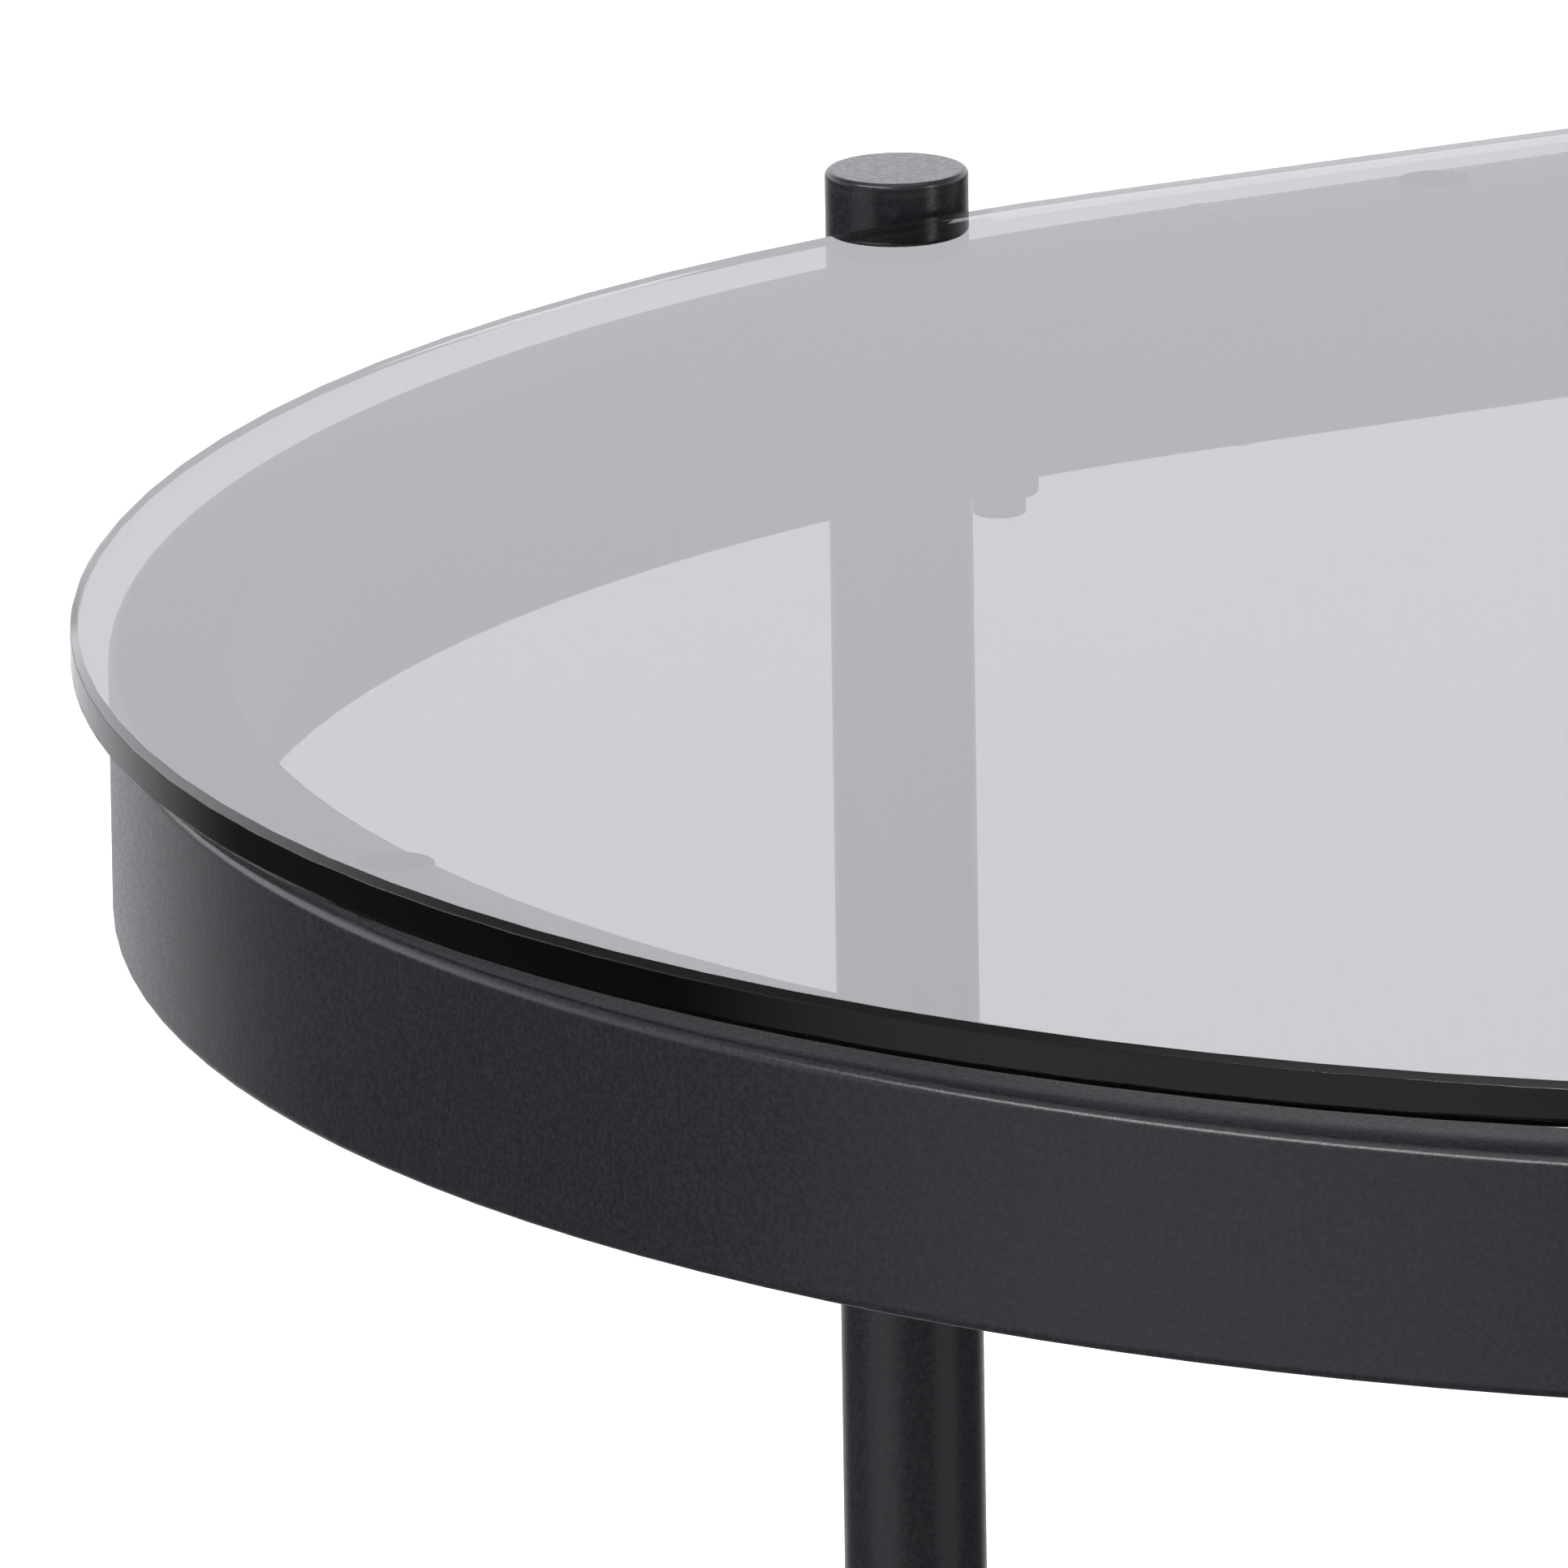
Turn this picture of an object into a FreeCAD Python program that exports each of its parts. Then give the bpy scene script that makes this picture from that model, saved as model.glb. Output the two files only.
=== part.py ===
import FreeCAD, Part
import math
import os
from FreeCAD import Vector

# A nest of two oblong tables: glass tops on bent steel frames, with round legs that stand
# outside the frames and end just above the glass. +X runs along the tables, +Y to the back,
# +Z up. The origin is on the floor, in the middle of the set's length and width.

# ---- Driving dimensions, millimetres ----

# Set
SMALL_PULL = 200.0         # how far the small table is drawn out from under the large one

# Frame tube, 30 x 15 rectangular steel
TUBE_H = 30.0
TUBE_W = 15.0
TUBE_WALL = 1.5
TUBE_CORNER = 1.5
BEND_LEAD = 8.0            # straight tail of each bent end before its butt weld

# Glass
GLASS_T = 5.8              # 6 mm float glass is 5.8 to 6.2 thick
GLASS_ARRIS = 0.9
GLASS_SOFT = 0.25          # polish radius where the arris meets the edge
GLASS_SIDE_INSET = 6.2     # the glass lies this far inside the frame at the sides
GLASS_END_INSET = 3.0      # and at the ends, where it is centred

# Clear pads between frame and glass
PAD_R = 5.0
PAD_H = 1.0
PAD_SOFT = 0.3
PAD_FROM_FACE = 8.8        # from the frame's outer face to the middle of each pad
PAD_FROM_ARC = 40.0        # side pads stand this far in from where the round ends begin

# Legs
LEG_R = 9.5
LEG_WALL = 1.5
LEG_GAP = 6.0              # clear space between leg and frame
LEG_ANGLE = 83.8           # degrees from the end of the table, about the end's centre
LEG_ABOVE_GLASS = 4.3
CAP_H = 1.5
CAP_SOFT = 0.8
GLIDE_H = 3.0
GLIDE_SOFT = 1.0
PLUG_LEN = 14.0
PLUG_CORE_R = 6.6
PLUG_FIN_R = 7.95
PLUG_FINS = 4

# Leg brackets and their fasteners, M4
STRAP_T = 3.0
STRAP_W = 10.4
STRAP_SOFT = 0.4
WEB_H = 24.0
SCREW_R = 1.95
SCREW_LEN = 12.0           # from the underside of the strap
HEAD_R = 3.5               # low cylinder head
HEAD_H = 2.8
HEAD_SOFT = 0.4
SOCKET_AF = 2.5
SOCKET_DEPTH = 1.6
SCREW_HOLE_R = 2.2
NUT_R = 2.95
NUT_BORE_R = 2.0
NUT_HOLE_R = 3.0
NUT_BULGE_R = 4.1
NUT_BULGE_H = 2.6
NUT_LEN = 10.0

UP = Vector(0, 0, 1)


class Table:
    """One table of the nest, with its levels worked out from the glass down."""

    def __init__(self, name, radius, straight, height, glass_slip):
        self.name = name
        self.radius = radius                    # outer radius of the frame's round ends
        self.half = straight / 2                # from the middle to each round end's centre
        self.height = height                    # top of the glass
        self.glass_slip = glass_slip            # how far the loose glass has moved
        self.x = 0.0                            # middle of the table along X
        self.glass_z = height - GLASS_T
        self.tube_top = self.glass_z - PAD_H
        self.tube_z = self.tube_top - TUBE_H
        self.leg_top = height + LEG_ABOVE_GLASS
        self.leg_reach = radius + LEG_GAP + LEG_R
        self.glass_radius = radius - GLASS_SIDE_INSET

    def end_centre(self, side, z=0.0):
        return Vector(self.x + side * self.half, 0, z)

    def glass_centre(self, side):
        """Centre of the glass's own round end, at its underside."""
        along, left_back = self.glass_slip
        beyond = GLASS_SIDE_INSET - GLASS_END_INSET
        across = left_back if side < 0 else 0
        return self.end_centre(side, self.glass_z) + Vector(side * beyond + along, across, 0)

    def leg_direction(self, side_x, side_y):
        """Unit vector from a round end's centre out to its leg."""
        angle = math.radians(LEG_ANGLE)
        return Vector(side_x * math.cos(angle), side_y * math.sin(angle), 0)

    def at_leg(self, side_x, side_y, reach, z):
        """Point at a given reach from the end's centre, on the line through the leg."""
        return self.end_centre(side_x, z) + self.leg_direction(side_x, side_y) * reach


# The large glass has slipped 3.5 to the left, and its left end 11 to the back, against the leg.
LARGE = Table("large", 250.0, 500.0, 420.0, (-3.5, 11.0))
SMALL = Table("small", 200.0, 400.0, 360.0, (0.0, 0.0))

# The set's left end is the large glass, its right end the small frame.
SET_LEFT = LARGE.glass_centre(-1).x - LARGE.glass_radius
SET_RIGHT = SMALL_PULL + SMALL.half + SMALL.radius
LARGE.x = -(SET_LEFT + SET_RIGHT) / 2
SMALL.x = LARGE.x + SMALL_PULL

CORNERS = [
    ("front_left", -1, -1),
    ("front_right", 1, -1),
    ("back_left", -1, 1),
    ("back_right", 1, 1),
]


# ---- Shape helpers ----

def export(table, piece, shape):
    assert shape.isValid(), piece
    shape.exportStep(f"parts/{table.name}_{piece}.step")
    print(table.name, piece, len(shape.Solids), "solids", round(shape.Volume), "mm3")


def rounded_rectangle(y0, y1, z0, z1, r):
    """Closed wire in the YZ plane with round corners."""
    if r == 0:
        points = [Vector(0, y0, z0), Vector(0, y1, z0), Vector(0, y1, z1), Vector(0, y0, z1)]
        return Part.makePolygon(points + points[:1])
    s = r * math.sqrt(0.5)
    corners = [(y1 - r, z0 + r, 1, -1), (y1 - r, z1 - r, 1, 1),
               (y0 + r, z1 - r, -1, 1), (y0 + r, z0 + r, -1, -1)]
    edges = []
    previous = Vector(0, y0 + r, z0)
    for index, (cy, cz, sy, sz) in enumerate(corners):
        flat = Vector(0, cy, cz + sz * r)
        side = Vector(0, cy + sy * r, cz)
        start, end = (flat, side) if index % 2 == 0 else (side, flat)
        middle = Vector(0, cy + sy * s, cz + sz * s)
        edges.append(Part.LineSegment(previous, start).toShape())
        edges.append(Part.Arc(start, middle, end).toShape())
        previous = end
    return Part.Wire(edges)


def tube_section(table, y_side):
    """Hollow section of the frame tube on the front (-1) or back (+1) side, at x = 0."""
    outer, inner = y_side * table.radius, y_side * (table.radius - TUBE_W)
    y0, y1 = min(outer, inner), max(outer, inner)
    z0, z1, w = table.tube_z, table.tube_top, TUBE_WALL
    skin = rounded_rectangle(y0, y1, z0, z1, TUBE_CORNER)
    bore = rounded_rectangle(y0 + w, y1 - w, z0 + w, z1 - w, 0)
    return Part.Face(skin).cut(Part.Face(bore)).Faces[0]


def stadium(left, right, radius):
    """Closed wire of two straight sides and two round ends about the given centres."""
    along = (right - left).normalize() * radius
    across = UP.cross(along)
    edges = [
        Part.LineSegment(left - across, right - across).toShape(),
        Part.Arc(right - across, right + along, right + across).toShape(),
        Part.LineSegment(right + across, left + across).toShape(),
        Part.Arc(left + across, left - along, left - across).toShape(),
    ]
    return Part.Wire(edges)


def turned(profile, centre):
    """Solid turned about a vertical axis from (radius, height) points."""
    points = [centre + Vector(r, 0, z) for r, z in profile]
    face = Part.Face(Part.makePolygon(points + points[:1]))
    return face.revolve(centre, UP, 360)


def edges_at(shape, z):
    return [e for e in shape.Edges if all(abs(v.Z - z) < 1e-4 for v in e.Vertexes)]


# ---- Frame ----

def make_rail(table, y_side):
    """Straight tube between the two bent ends."""
    length = 2 * (table.half - BEND_LEAD)
    section = tube_section(table, y_side)
    section.translate(Vector(table.x - length / 2, 0, 0))
    return section.extrude(Vector(length, 0, 0))


def make_bow(table, side):
    """Tube bent to a half circle, with a short straight tail at each end."""
    centre = table.end_centre(side)
    section = tube_section(table, -side)
    section.translate(centre)
    bow = section.revolve(centre, UP, 180)
    for y_side in (-1, 1):
        tail = tube_section(table, y_side)
        tail.translate(centre)
        bow = bow.fuse(tail.extrude(Vector(-side * BEND_LEAD, 0, 0)))
    bow = bow.removeSplitter()
    for y_side in (-1, 1):
        hole = table.at_leg(side, y_side, table.radius - TUBE_W / 2, table.tube_z - 1)
        bow = bow.cut(Part.makeCylinder(NUT_HOLE_R, TUBE_WALL + 2, hole))
    return bow.Solids[0]


# ---- Glass and pads ----

def make_glass(table):
    outline = stadium(table.glass_centre(-1), table.glass_centre(1), table.glass_radius)
    glass = Part.Face(outline).extrude(UP * GLASS_T)
    z0, z1 = table.glass_z, table.glass_z + GLASS_T
    glass = glass.makeChamfer(GLASS_ARRIS, edges_at(glass, z0) + edges_at(glass, z1))
    soft = edges_at(glass, z0 + GLASS_ARRIS) + edges_at(glass, z1 - GLASS_ARRIS)
    return glass.makeFillet(GLASS_SOFT, soft)


def pad_places(table):
    """One pad at each end and two along each side."""
    reach = table.radius - PAD_FROM_FACE
    places = []
    for side in (-1, 1):
        centre = table.end_centre(side)
        places.append(centre + Vector(side * reach, 0, 0))
        for y_side in (-1, 1):
            places.append(centre + Vector(-side * PAD_FROM_ARC, y_side * reach, 0))
    return places


def make_pads(table):
    pads = []
    for place in pad_places(table):
        pad = Part.makeCylinder(PAD_R, PAD_H, place + UP * table.tube_top)
        pads.append(pad.makeFillet(PAD_SOFT, edges_at(pad, table.tube_top + PAD_H)))
    return Part.makeCompound(pads)


# ---- Legs ----

def make_leg(table, side_x, side_y):
    foot = table.at_leg(side_x, side_y, table.leg_reach, GLIDE_H)
    length = table.leg_top - CAP_H - GLIDE_H
    tube = Part.makeCylinder(LEG_R, length, foot)
    return tube.cut(Part.makeCylinder(LEG_R - LEG_WALL, length, foot))


def plug_profile(direction):
    """Finned plug as (radius, height) points from its shoulder, up (+1) or down (-1)."""
    points = []
    step = PLUG_LEN / (PLUG_FINS + 1)
    for fin in range(1, PLUG_FINS + 1):
        z = fin * step
        points += [(PLUG_CORE_R, z - 1.0), (PLUG_FIN_R, z - 0.5), (PLUG_FIN_R, z),
                   (PLUG_CORE_R, z + 0.4)]
    points += [(PLUG_CORE_R, PLUG_LEN), (0, PLUG_LEN)]
    return [(r, direction * z) for r, z in points]


def make_caps(table):
    caps = []
    for _, side_x, side_y in CORNERS:
        seat = table.at_leg(side_x, side_y, table.leg_reach, table.leg_top - CAP_H)
        disc = [(0, CAP_H), (LEG_R, CAP_H), (LEG_R, 0), (PLUG_CORE_R, 0)]
        cap = turned(disc + plug_profile(-1), seat)
        caps.append(cap.makeFillet(CAP_SOFT, edges_at(cap, table.leg_top)))
    return Part.makeCompound(caps)


def make_glides(table):
    glides = []
    for _, side_x, side_y in CORNERS:
        seat = table.at_leg(side_x, side_y, table.leg_reach, GLIDE_H)
        disc = [(0, -GLIDE_H), (LEG_R, -GLIDE_H), (LEG_R, 0), (PLUG_CORE_R, 0)]
        glide = turned(disc + plug_profile(1), seat)
        glides.append(glide.makeFillet(GLIDE_SOFT, edges_at(glide, 0)))
    return Part.makeCompound(glides)


# ---- Brackets, screws and nuts ----

def along_leg_line(table, side_x, side_y, shape):
    """Turn a shape drawn from the leg's axis towards -X onto the line to the end's centre."""
    out = table.leg_direction(side_x, side_y)
    shape.rotate(Vector(0, 0, 0), UP, math.degrees(math.atan2(out.y, out.x)))
    shape.translate(table.at_leg(side_x, side_y, table.leg_reach, 0))
    return shape


def make_bracket(table, side_x, side_y):
    """Strap under the frame and a web that fills the gap between leg and frame."""
    screw_x = -(table.leg_reach - table.radius + TUBE_W / 2)
    z0 = table.tube_z - STRAP_T
    strap = Part.makeBox(-screw_x, STRAP_W, STRAP_T, Vector(screw_x, -STRAP_W / 2, z0))
    strap = strap.fuse(Part.makeCylinder(STRAP_W / 2, STRAP_T, Vector(screw_x, 0, z0)))
    strap = strap.removeSplitter()
    strap = strap.makeFillet(STRAP_SOFT, edges_at(strap, z0))
    web_x = -(table.leg_reach - table.radius)
    web = Part.makeBox(-web_x + 2, STRAP_W, WEB_H, Vector(web_x - 2, -STRAP_W / 2, table.tube_z))
    bracket = along_leg_line(table, side_x, side_y, strap)
    web = along_leg_line(table, side_x, side_y, web)
    web = web.cut(Part.makeCylinder(table.radius, table.height, table.end_centre(side_x)))
    leg = Part.makeCylinder(LEG_R, table.height, table.at_leg(side_x, side_y, table.leg_reach, 0))
    hole_at = table.at_leg(side_x, side_y, table.radius - TUBE_W / 2, z0 - 1)
    hole = Part.makeCylinder(SCREW_HOLE_R, STRAP_T + 2, hole_at)
    return bracket.fuse(web).cut(leg).cut(hole).removeSplitter().Solids[0]


def make_screw(table, side_x, side_y):
    """Low-head screw with a hexagon socket."""
    seat = table.at_leg(side_x, side_y, table.radius - TUBE_W / 2, table.tube_z - STRAP_T)
    bottom = seat - UP * HEAD_H
    head = Part.makeCylinder(HEAD_R, HEAD_H, bottom)
    head = head.makeFillet(HEAD_SOFT, edges_at(head, bottom.z))
    corner = SOCKET_AF / math.sqrt(3)
    ring = [bottom + Vector(corner * math.cos(a), corner * math.sin(a), 0)
            for a in (math.radians(60 * i) for i in range(6))]
    socket = Part.Face(Part.makePolygon(ring + ring[:1])).extrude(UP * SOCKET_DEPTH)
    shank = Part.makeCylinder(SCREW_R, SCREW_LEN, seat)
    return head.cut(socket).fuse(shank).removeSplitter().Solids[0]


def make_nut(table, side_x, side_y):
    """Rivet nut, flush in the tube's lower wall and bulged above it."""
    seat = table.at_leg(side_x, side_y, table.radius - TUBE_W / 2, table.tube_z)
    low, high = TUBE_WALL + 0.05, TUBE_WALL + NUT_BULGE_H
    profile = [(NUT_BORE_R, 0), (NUT_R, 0), (NUT_R, low), (NUT_BULGE_R, low),
               (NUT_BULGE_R, high - 0.6), (NUT_R, high), (NUT_R, NUT_LEN), (NUT_BORE_R, NUT_LEN)]
    return turned(profile, seat)


def at_corners(table, maker):
    return Part.makeCompound([maker(table, sx, sy) for _, sx, sy in CORNERS])


# ---- Assembly ----

os.makedirs("parts", exist_ok=True)
for table in (LARGE, SMALL):
    export(table, "glass_top", make_glass(table))
    export(table, "glass_pads", make_pads(table))
    export(table, "frame_left_bow", make_bow(table, -1))
    export(table, "frame_right_bow", make_bow(table, 1))
    export(table, "frame_front_rail", make_rail(table, -1))
    export(table, "frame_back_rail", make_rail(table, 1))
    for corner, side_x, side_y in CORNERS:
        export(table, f"leg_{corner}", make_leg(table, side_x, side_y))
    export(table, "leg_caps", make_caps(table))
    export(table, "foot_glides", make_glides(table))
    export(table, "leg_brackets", at_corners(table, make_bracket))
    export(table, "bracket_screws", at_corners(table, make_screw))
    export(table, "rivet_nuts", at_corners(table, make_nut))
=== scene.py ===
import math

import bpy
from mathutils import Matrix, Vector


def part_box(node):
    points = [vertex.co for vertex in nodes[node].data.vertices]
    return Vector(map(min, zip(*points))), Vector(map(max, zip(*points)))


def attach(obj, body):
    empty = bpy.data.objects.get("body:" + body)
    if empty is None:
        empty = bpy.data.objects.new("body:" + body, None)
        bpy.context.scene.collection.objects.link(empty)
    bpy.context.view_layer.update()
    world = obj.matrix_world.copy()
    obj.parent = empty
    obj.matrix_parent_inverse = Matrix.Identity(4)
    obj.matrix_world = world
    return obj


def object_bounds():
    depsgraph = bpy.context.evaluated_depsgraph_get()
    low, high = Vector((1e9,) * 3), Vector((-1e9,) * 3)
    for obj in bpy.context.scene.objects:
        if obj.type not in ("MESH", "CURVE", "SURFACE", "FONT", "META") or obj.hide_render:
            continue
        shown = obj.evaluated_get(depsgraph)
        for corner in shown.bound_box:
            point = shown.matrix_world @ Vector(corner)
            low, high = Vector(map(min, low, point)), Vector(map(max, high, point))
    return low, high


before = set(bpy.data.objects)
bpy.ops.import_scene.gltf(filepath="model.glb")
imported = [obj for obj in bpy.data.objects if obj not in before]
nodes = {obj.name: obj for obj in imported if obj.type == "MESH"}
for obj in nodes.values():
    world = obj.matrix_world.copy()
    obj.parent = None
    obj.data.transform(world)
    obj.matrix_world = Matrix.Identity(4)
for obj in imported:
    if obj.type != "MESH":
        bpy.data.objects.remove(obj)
cad_lo, cad_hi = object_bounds()
scene = bpy.context.scene


# ---- node-building helpers --------------------------------------------------

class Tree:
    """A new material's node tree, with short calls for the nodes used here."""

    def __init__(self, name):
        self.material = bpy.data.materials.new(name)
        self.material.use_nodes = True
        self.tree = self.material.node_tree
        self.tree.nodes.clear()
        self.out = self.tree.nodes.new("ShaderNodeOutputMaterial")
        self.bsdf = self.tree.nodes.new("ShaderNodeBsdfPrincipled")
        self.link(self.bsdf.outputs[0], self.out.inputs["Surface"])
        self.coords = self.tree.nodes.new("ShaderNodeTexCoord").outputs["Object"]

    def link(self, source, target):
        self.tree.links.new(source, target)

    def put(self, **values):
        """Sets the shader's own sockets: spaces in their names are written as underscores."""
        for name, value in values.items():
            socket = self.bsdf.inputs[name.replace("_", " ")]
            if isinstance(value, bpy.types.NodeSocket):
                self.link(value, socket)
            elif isinstance(value, tuple):
                socket.default_value = (*value, 1.0)
            else:
                socket.default_value = value

    def noise(self, scale, detail=2.0, rough=0.5, stretch=None):
        node = self.tree.nodes.new("ShaderNodeTexNoise")
        node.inputs["Scale"].default_value = scale
        node.inputs["Detail"].default_value = detail
        node.inputs["Roughness"].default_value = rough
        source = self.coords
        if stretch:
            mapping = self.tree.nodes.new("ShaderNodeMapping")
            mapping.inputs["Scale"].default_value = stretch
            self.link(source, mapping.inputs["Vector"])
            source = mapping.outputs[0]
        self.link(source, node.inputs["Vector"])
        return node.outputs["Fac"]

    def cells(self, scale):
        node = self.tree.nodes.new("ShaderNodeTexVoronoi")
        node.inputs["Scale"].default_value = scale
        self.link(self.coords, node.inputs["Vector"])
        return node

    def span(self, value, low, high, to_low, to_high, smooth=False):
        """Maps low..high of a value to to_low..to_high, clamped."""
        node = self.tree.nodes.new("ShaderNodeMapRange")
        if smooth:
            node.interpolation_type = "SMOOTHSTEP"
        for name, number in (
            ("From Min", low), ("From Max", high), ("To Min", to_low), ("To Max", to_high)
        ):
            node.inputs[name].default_value = number
        self.link(value, node.inputs["Value"])
        return node.outputs["Result"]

    def math(self, operation, a, b):
        node = self.tree.nodes.new("ShaderNodeMath")
        node.operation = operation
        for socket, value in zip(node.inputs, (a, b)):
            if isinstance(value, bpy.types.NodeSocket):
                self.link(value, socket)
            else:
                socket.default_value = value
        return node.outputs[0]

    def colours(self, value, *stops):
        """A colour ramp: stops are (position, (r, g, b))."""
        node = self.tree.nodes.new("ShaderNodeValToRGB")
        ramp = node.color_ramp
        while len(ramp.elements) < len(stops):
            ramp.elements.new(0.5)
        for element, (position, colour) in zip(ramp.elements, stops):
            element.position = position
            element.color = (*colour, 1.0)
        self.link(value, node.inputs["Fac"])
        return node.outputs["Color"]

    def mix(self, factor, a, b):
        node = self.tree.nodes.new("ShaderNodeMix")
        node.data_type = "RGBA"
        self.link(factor, node.inputs["Factor"])
        for socket, value in ((node.inputs[6], a), (node.inputs[7], b)):
            if isinstance(value, bpy.types.NodeSocket):
                self.link(value, socket)
            else:
                socket.default_value = (*value, 1.0)
        return node.outputs[2]

    def bump(self, height, distance, strength=1.0, under=None):
        node = self.tree.nodes.new("ShaderNodeBump")
        node.inputs["Strength"].default_value = strength
        node.inputs["Distance"].default_value = distance
        self.link(height, node.inputs["Height"])
        if under is not None:
            self.link(under, node.inputs["Normal"])
        return node.outputs["Normal"]

    def edges(self, radius, samples=6):
        """0 on flat faces, rising to 1 on corners tighter than about the radius."""
        bevel = self.tree.nodes.new("ShaderNodeBevel")
        bevel.samples = samples
        bevel.inputs["Radius"].default_value = radius
        true = self.tree.nodes.new("ShaderNodeNewGeometry").outputs["Normal"]
        dot = self.tree.nodes.new("ShaderNodeVectorMath")
        dot.operation = "DOT_PRODUCT"
        self.link(bevel.outputs[0], dot.inputs[0])
        self.link(true, dot.inputs[1])
        return self.span(dot.outputs["Value"], 0.995, 0.86, 0.0, 1.0)


# ---- finishes ---------------------------------------------------------------

def black_coat():
    """Fine-textured satin black powder coat on steel tube."""
    t = Tree("black_coat_fine")
    grain = t.noise(1500.0, 3.0, 0.55)
    peel = t.noise(420.0, 2.0, 0.5)
    patch = t.noise(9.0, 3.0, 0.6)
    chips = t.span(t.noise(160.0, 4.0, 0.65), 0.46, 0.66, 0.0, 1.0)
    worn = t.math("MULTIPLY", t.edges(0.0012), chips)
    base = t.colours(patch, (0.30, (0.0095, 0.0088, 0.0118)), (0.70, (0.0135, 0.0125, 0.0160)))
    base = t.mix(t.span(grain, 0.40, 0.75, 0.0, 0.45), base, (0.030, 0.029, 0.034))
    base = t.mix(t.math("MULTIPLY", worn, 0.5), base, (0.050, 0.049, 0.052))
    cloud = t.span(patch, 0.3, 0.7, -0.015, 0.02)
    rough = t.math("ADD", t.span(grain, 0.3, 0.7, 0.22, 0.33), cloud)
    rough = t.math("SUBTRACT", rough, t.math("MULTIPLY", worn, 0.05))
    t.put(Base_Color=base, Roughness=rough, IOR=1.5)
    t.put(Normal=t.bump(grain, 0.00004, 0.4, under=t.bump(peel, 0.00005, 0.4)))
    return t.material


def smoked_glass():
    """Grey float glass: clear faces with faint wiping marks, ground arrises, polished edges."""
    t = Tree("smoked_glass_float")
    film = t.noise(14.0, 4.0, 0.6)
    wipe = t.noise(30.0, 3.0, 0.6, stretch=(1.0, 7.0, 1.0))
    film_part = t.span(film, 0.45, 0.70, 0.0, 1.0)
    marks = t.math("MULTIPLY", film_part, t.span(wipe, 0.45, 0.75, 0.0, 0.014))
    normal = t.tree.nodes.new("ShaderNodeNewGeometry").outputs["True Normal"]
    split = t.tree.nodes.new("ShaderNodeSeparateXYZ")
    t.link(normal, split.inputs[0])
    tilt = t.math("ABSOLUTE", split.outputs["Z"], 0.0)
    arris = t.math(
        "MULTIPLY", t.span(tilt, 0.55, 0.65, 0.0, 1.0), t.span(tilt, 0.75, 0.85, 1.0, 0.0)
    )
    ground = t.span(t.noise(600.0, 2.0, 0.5), 0.3, 0.7, 0.07, 0.10)
    rough = t.math("ADD", marks, t.math("MULTIPLY", arris, ground))
    tint = t.colours(film, (0.25, (0.985, 0.985, 0.985)), (0.75, (0.998, 0.998, 1.0)))
    t.put(Base_Color=tint, Roughness=rough, IOR=1.52, Transmission_Weight=1.0)
    t.put(Normal=t.bump(t.noise(4.0, 1.0, 0.4), 0.00002, 0.4))
    absorb = t.tree.nodes.new("ShaderNodeVolumeAbsorption")
    absorb.inputs["Color"].default_value = (0.30, 0.31, 0.32, 1.0)
    absorb.inputs["Density"].default_value = 280.0
    t.link(absorb.outputs[0], t.out.inputs["Volume"])
    return t.material


def clear_pad():
    """Soft clear vinyl bumper."""
    t = Tree("clear_pad_vinyl")
    cloud = t.noise(500.0, 3.0, 0.6)
    t.put(Base_Color=t.colours(cloud, (0.3, (0.82, 0.82, 0.81)), (0.7, (0.90, 0.90, 0.88))))
    t.put(Roughness=t.span(cloud, 0.3, 0.7, 0.20, 0.36), IOR=1.46, Transmission_Weight=1.0)
    t.put(Normal=t.bump(t.noise(900.0), 0.00003, 0.4))
    return t.material


def black_plastic():
    """Moulded black polyethylene, matt from a spark-eroded mould and scuffed on its edges."""
    t = Tree("black_plastic_moulded")
    spark = t.noise(2600.0, 2.0, 0.6)
    patch = t.noise(60.0, 3.0, 0.6)
    rubs = t.span(t.noise(240.0, 4.0, 0.7), 0.45, 0.62, 0.0, 1.0)
    scuff = t.math("MULTIPLY", t.edges(0.0009), rubs)
    base = t.colours(patch, (0.3, (0.013, 0.013, 0.014)), (0.7, (0.020, 0.020, 0.021)))
    t.put(Base_Color=t.mix(t.math("MULTIPLY", scuff, 0.6), base, (0.07, 0.07, 0.07)))
    rough = t.math("ADD", t.span(spark, 0.3, 0.7, 0.42, 0.54), t.math("MULTIPLY", scuff, 0.1))
    t.put(Roughness=rough, IOR=1.5, Normal=t.bump(spark, 0.00004, 0.5))
    return t.material


def black_screw():
    """Black oxide on steel, rubbed on the corners."""
    t = Tree("black_screw_oxide")
    fine = t.noise(1800.0, 3.0, 0.6)
    rubs = t.span(t.noise(500.0, 4.0, 0.7), 0.40, 0.60, 0.0, 1.0)
    rubbed = t.math("MULTIPLY", t.edges(0.0005), rubs)
    base = t.colours(fine, (0.3, (0.035, 0.035, 0.038)), (0.7, (0.065, 0.063, 0.062)))
    t.put(Base_Color=t.mix(rubbed, base, (0.30, 0.29, 0.28)), Metallic=0.85)
    t.put(Roughness=t.span(fine, 0.3, 0.7, 0.30, 0.46))
    t.put(Normal=t.bump(fine, 0.00002, 0.4))
    return t.material


def zinc():
    """Bright zinc plating with a faint grain and dulled patches."""
    t = Tree("zinc_plated")
    grain = t.cells(700.0)
    dull = t.noise(300.0, 4.0, 0.6)
    tone = t.colours(grain.outputs["Color"], (0.2, (0.46, 0.47, 0.49)), (0.8, (0.62, 0.62, 0.63)))
    t.put(Base_Color=t.mix(t.span(dull, 0.5, 0.7, 0.0, 0.6), tone, (0.36, 0.36, 0.36)))
    t.put(Metallic=1.0, Roughness=t.span(dull, 0.3, 0.7, 0.24, 0.46))
    t.put(Normal=t.bump(dull, 0.00003, 0.4))
    return t.material


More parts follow.
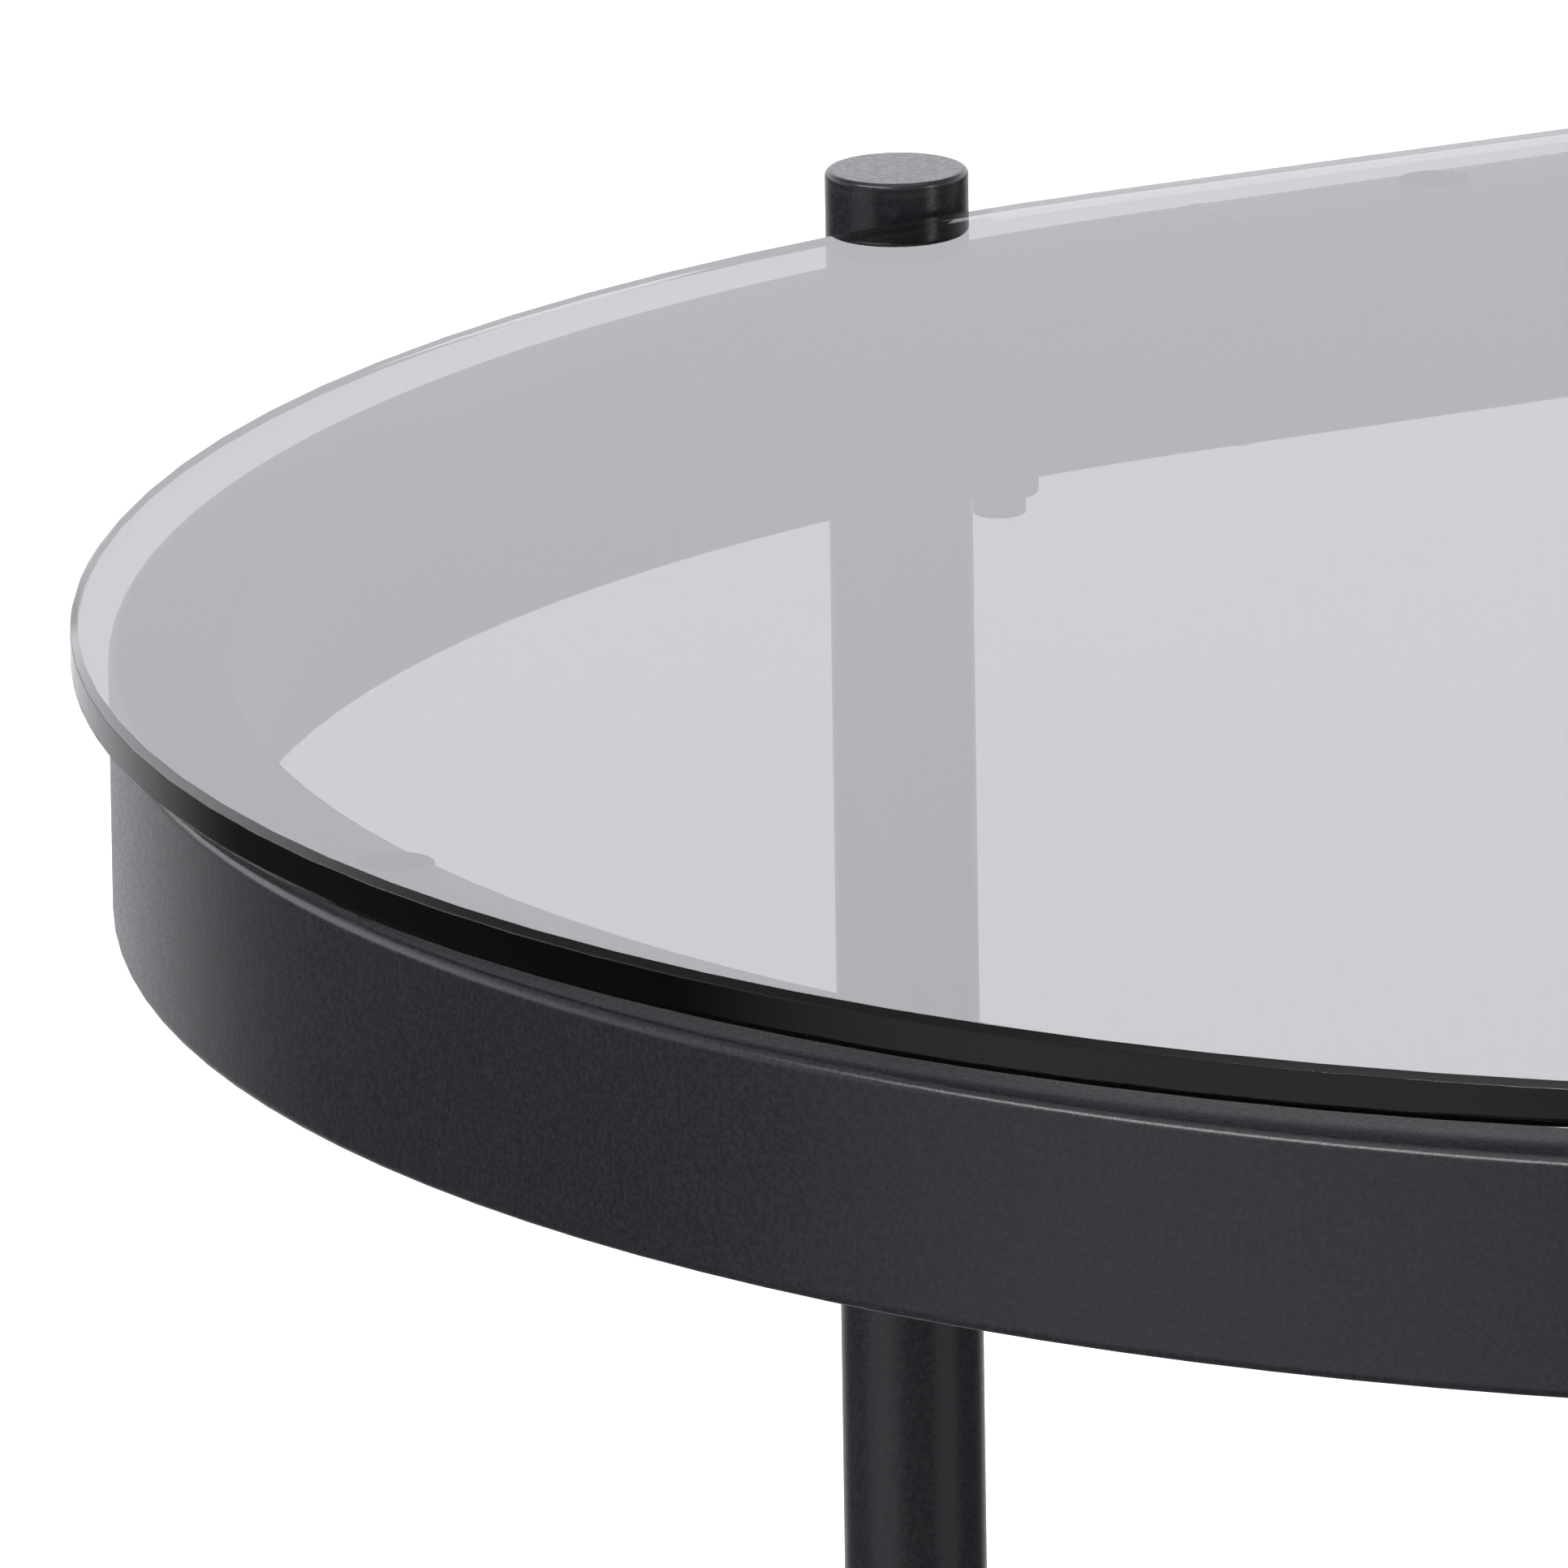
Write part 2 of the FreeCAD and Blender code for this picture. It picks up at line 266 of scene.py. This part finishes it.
FINISH = {
    "smoked_glass": smoked_glass(),
    "black_coat": black_coat(),
    "clear_pad": clear_pad(),
    "black_plastic": black_plastic(),
    "black_screw": black_screw(),
    "zinc": zinc(),
}
SLOT_OF = {
    "glass_top": "smoked_glass",
    "glass_pads": "clear_pad",
    "foot_glides": "black_plastic",
    "bracket_screws": "black_screw",
    "rivet_nuts": "zinc",
}
for name, node in nodes.items():
    part = name.split("_", 1)[1]
    finish = FINISH[SLOT_OF.get(part, "black_coat")]
    for index in range(len(node.material_slots)):
        node.material_slots[index].material = finish


# ---- weld beads -------------------------------------------------------------

TUBE_CORNER = 0.0015
LEG_BEAD_RADIUS = 0.0012
BRACKET_HALF_WIDTH = 0.0052
WEB_HEIGHT = 0.0236        # top of the leg beads above the underside of the frame
BEAD_STEPS = 48
BEAD_SIDES = 15


def make_piece(name, body, points, faces):
    """A smooth mesh piece in the powder coat, riding on a body."""
    mesh = bpy.data.meshes.new(name)
    mesh.from_pydata(points, [], faces)
    mesh.materials.append(FINISH["black_coat"])
    mesh.polygons.foreach_set("use_smooth", [True] * len(mesh.polygons))
    piece = bpy.data.objects.new(name, mesh)
    scene.collection.objects.link(piece)
    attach(piece, body)
    return piece


def closed_strip(rows):
    """Quads between neighbouring closed rows, and from the last row back to the first."""
    count = len(rows[0])
    points = [p for row in rows for p in row]
    faces = []
    for r in range(len(rows)):
        s = (r + 1) % len(rows)
        for i in range(count):
            j = (i + 1) % count
            faces.append((r * count + i, r * count + j, s * count + j, s * count + i))
    return points, faces


def section_loop(y0, y1, z0, z1, corner):
    """Closely spaced points round the tube's section."""
    loop = []
    centres = [(y1, z0, 1, -1, -90), (y1, z1, 1, 1, 0), (y0, z1, -1, 1, 90), (y0, z0, -1, -1, 180)]
    for cy, cz, sy, sz, start in centres:
        oy, oz = cy - sy * corner, cz - sz * corner
        for step in range(7):
            a = math.radians(start + 15 * step)
            loop.append((oy + corner * math.cos(a), oz + corner * math.sin(a)))
    full = []
    for (ya, za), (yb, zb) in zip(loop, loop[1:] + loop[:1]):
        cuts = max(1, round(math.hypot(yb - ya, zb - za) / 0.0006))
        full += [(ya + (yb - ya) * k / cuts, za + (zb - za) * k / cuts) for k in range(cuts)]
    return full


def tube_weld(name, body, x, y0, y1, z0, z1):
    """A dressed butt weld round the frame tube: a low rippled band sunk at both sides."""
    rows = []
    for offset, proud in (
        (-1.5, -0.25), (-1.3, 0.0), (-0.7, 0.09), (0.0, 0.13), (0.7, 0.09), (1.3, 0.0), (1.5, -0.25)
    ):
        loop = section_loop(y0, y1, z0, z1, TUBE_CORNER)
        row = []
        for index, (y, z) in enumerate(loop):
            ripple = 1.0 + 0.35 * math.sin(index * 1.9 + abs(offset) * 1.6)
            out = (proud * ripple if proud > 0 else proud) * 0.001
            my, mz = (y0 + y1) / 2, (z0 + z1) / 2
            scale_y = 1 + out / (abs(y1 - y0) / 2)
            scale_z = 1 + out / (abs(z1 - z0) / 2)
            drift = 0.00012 * math.sin(index * 0.37)
            along = x + offset * 0.001 + drift
            row.append((along, my + (y - my) * scale_y, mz + (z - mz) * scale_z))
        rows.append(row)
    return make_piece(name, body, *closed_strip(rows))


def upright_weld(name, body, at, z0, z1, radius):
    """A short rippled bead standing in the corner between a leg and its bracket."""
    rows = []
    steps, sides = BEAD_STEPS, BEAD_SIDES
    ring = [math.radians(360 / sides * i) for i in range(sides)]
    for k in range(steps + 1):
        z = z0 + (z1 - z0) * k / steps
        end = min(1.0, 5.0 * min(k, steps - k) / steps + 0.05)
        r = radius * math.sqrt(end) * (1.0 + 0.10 * math.sin(k * 1.3))
        rows.append([
            (at.x + r * math.cos(a), at.y + r * math.sin(a), z + 0.0004 * math.cos(a)) for a in ring
        ])
    points = [p for row in rows for p in row]
    faces = [
        (r * sides + i, r * sides + (i + 1) % sides,
         (r + 1) * sides + (i + 1) % sides, (r + 1) * sides + i)
        for r in range(steps) for i in range(sides)
    ]
    faces += [tuple(range(sides))[::-1], tuple(steps * sides + i for i in range(sides))]
    return make_piece(name, body, points, faces)


for table in ("large", "small"):
    body = table + "_table"
    for side in ("front", "back"):
        lo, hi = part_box(f"{table}_frame_{side}_rail")
        for end, x in (("left", lo.x), ("right", hi.x)):
            tube_weld(f"{table}_tube_weld_{side}_{end}", body, x, lo.y, hi.y, lo.z, hi.z)
    rail_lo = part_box(f"{table}_frame_front_rail")[0]
    for corner in ("front_left", "front_right", "back_left", "back_right"):
        leg_lo, leg_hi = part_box(f"{table}_leg_{corner}")
        axis = (leg_lo + leg_hi) / 2
        leg_radius = (leg_hi.x - leg_lo.x) / 2
        bow_name = f"{table}_frame_{corner.split('_')[1]}_bow"
        bow_a, bow_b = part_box(bow_name)
        end_r = (bow_b.y - bow_a.y) / 2
        end_x = bow_a.x + end_r if bow_name.endswith("left_bow") else bow_b.x - end_r
        inward = Vector((end_x - axis.x, -axis.y, 0.0)).normalized()
        across = Vector((-inward.y, inward.x, 0.0))
        reach = math.sqrt(leg_radius ** 2 - BRACKET_HALF_WIDTH ** 2)
        for mark, sign in (("a", -1), ("b", 1)):
            at = axis + inward * (reach + 0.0003) + across * sign * BRACKET_HALF_WIDTH
            upright_weld(
                f"{table}_leg_weld_{corner}_{mark}", body, at,
                rail_lo.z + 0.0004, rail_lo.z + WEB_HEIGHT, LEG_BEAD_RADIUS,
            )


# ---- stage and light --------------------------------------------------------

bow_lo, bow_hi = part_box("large_frame_left_bow")
TURN = math.radians(27.9475)
PITCH = math.radians(14.7157)
ROLL = math.radians(-0.8545)
LENS_MM = 799.6423         # on a 36 mm wide sensor
SIDEWAYS, BACK, HEIGHT = -0.165080, 4.249789, 1.094297     # camera from the pivot, metres
end_radius = (bow_hi.y - bow_lo.y) / 2
pivot = Vector((bow_lo.x + end_radius, (bow_lo.y + bow_hi.y) / 2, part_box("large_glass_top")[1].z))
right = Vector((math.cos(TURN), -math.sin(TURN), 0.0))
ahead = Vector((math.sin(TURN), math.cos(TURN), 0.0))
zenith = Vector((0.0, 0.0, 1.0))

forward = ahead * math.cos(PITCH) - zenith * math.sin(PITCH)
upward = ahead * math.sin(PITCH) + zenith * math.cos(PITCH)
axis_x = right * math.cos(ROLL) + upward * math.sin(ROLL)
axis_y = upward * math.cos(ROLL) - right * math.sin(ROLL)
place = pivot + right * SIDEWAYS - ahead * BACK + zenith * HEIGHT
camera = bpy.data.objects.new("camera", bpy.data.cameras.new("camera"))
camera.data.sensor_width = 36.0
camera.data.lens = LENS_MM
camera.data.clip_start = 0.1
camera.data.clip_end = 200.0
camera.matrix_world = Matrix((
    (axis_x.x, axis_y.x, -forward.x, place.x),
    (axis_x.y, axis_y.y, -forward.y, place.y),
    (axis_x.z, axis_y.z, -forward.z, place.z),
    (0.0, 0.0, 0.0, 1.0),
))
scene.collection.objects.link(camera)
scene.camera = camera
scene.view_settings.view_transform = "Standard"


def towards(left_of_camera, elevation):
    """Unit vector from the table, turned to the left of the camera's side and lifted."""
    turn, lift = math.radians(left_of_camera), math.radians(elevation)
    level = -ahead * math.cos(turn) - right * math.sin(turn)
    return level * math.cos(lift) + zenith * math.sin(lift)


def softbox(name, left_of_camera, elevation, distance, width, height, radiance):
    """A rectangular area light that faces the table, hidden from the camera itself."""
    light = bpy.data.lights.new(name, "AREA")
    light.shape = "RECTANGLE"
    light.size, light.size_y = width, height
    light.energy = radiance * math.pi * width * height
    lamp = bpy.data.objects.new(name, light)
    way = towards(left_of_camera, elevation)
    lamp.location = pivot + way * distance
    lamp.rotation_mode = "QUATERNION"
    lamp.rotation_quaternion = way.to_track_quat("Z", "Y")
    lamp.visible_camera = False
    scene.collection.objects.link(lamp)


softbox("key", 52.0, 47.0, 3.0, 2.7, 0.50, 14.0)
softbox("fill", -60.0, 20.0, 3.0, 0.50, 1.20, 8.0)

floor_mesh = bpy.data.meshes.new("floor")
REACH = 120.0
floor_mesh.from_pydata(
    [(-REACH, -REACH, 0.0), (REACH, -REACH, 0.0), (REACH, REACH, 0.0), (-REACH, REACH, 0.0)],
    [], [(0, 1, 2, 3)],
)
floor = bpy.data.objects.new("floor", floor_mesh)
floor.location.z = cad_lo.z
floor.visible_glossy = False
scene.collection.objects.link(floor)
ground = Tree("pale_floor")
mottle = ground.noise(6.0, 4.0, 0.6)
ground.put(Base_Color=ground.colours(mottle, (0.3, (0.78, 0.78, 0.78)), (0.7, (0.81, 0.81, 0.81))))
ground.put(Roughness=0.9, Emission_Color=(1.0, 1.0, 1.0), Emission_Strength=0.70)
floor_mesh.materials.append(ground.material)

world = bpy.data.worlds.new("studio")
scene.world = world
world.use_nodes = True
sky = world.node_tree
sky.nodes.clear()
heading = sky.nodes.new("ShaderNodeTexCoord").outputs["Generated"]


def sky_math(operation, a, b):
    node = sky.nodes.new("ShaderNodeMath")
    node.operation = operation
    for socket, value in zip(node.inputs, (a, b)):
        if isinstance(value, bpy.types.NodeSocket):
            sky.links.new(value, socket)
        else:
            socket.default_value = value
    return node.outputs[0]


def sky_ramp(value, low, high, to_low, to_high):
    node = sky.nodes.new("ShaderNodeMapRange")
    node.interpolation_type = "SMOOTHSTEP"
    for name, number in (
        ("From Min", low), ("From Max", high), ("To Min", to_low), ("To Max", to_high)
    ):
        node.inputs[name].default_value = number
    sky.links.new(value, node.inputs["Value"])
    return node.outputs["Result"]


def sky_facing(direction):
    """Cosine of the angle between a ray and the given direction."""
    node = sky.nodes.new("ShaderNodeVectorMath")
    node.operation = "DOT_PRODUCT"
    sky.links.new(heading, node.inputs[0])
    node.inputs[1].default_value = direction
    return node.outputs["Value"]


level = sky_facing(zenith)
behind = sky_facing(ahead)
low_band = sky_ramp(level, 0.30, 0.62, 1.0, 0.0)
backdrop = sky_ramp(behind, -0.35, 0.60, 0.20, 1.36)
overhead = sky_ramp(level, 0.80, 0.98, 0.30, 1.20)
upper = sky_math("ADD", sky_math("MULTIPLY", low_band, backdrop), overhead)
beneath = sky_ramp(behind, 0.62, 0.97, 0.07, 0.80)
for left_of_camera, spread, strength in ((50.0, 0.80, 0.50), (-55.0, 0.90, 0.42)):
    lobe = sky_ramp(sky_facing(towards(left_of_camera, -15.0)), spread, 0.99, 0.0, strength)
    beneath = sky_math("ADD", beneath, lobe)
share = sky_ramp(level, -0.02, 0.03, 0.0, 1.0)
lower_part = sky_math("MULTIPLY", beneath, sky_math("SUBTRACT", 1.0, share))
total = sky_math("ADD", lower_part, sky_math("MULTIPLY", upper, share))
background = sky.nodes.new("ShaderNodeBackground")
background.inputs["Color"].default_value = (0.985, 0.99, 1.035, 1.0)
sky.links.new(total, background.inputs["Strength"])
world_out = sky.nodes.new("ShaderNodeOutputWorld")
sky.links.new(background.outputs[0], world_out.inputs["Surface"])
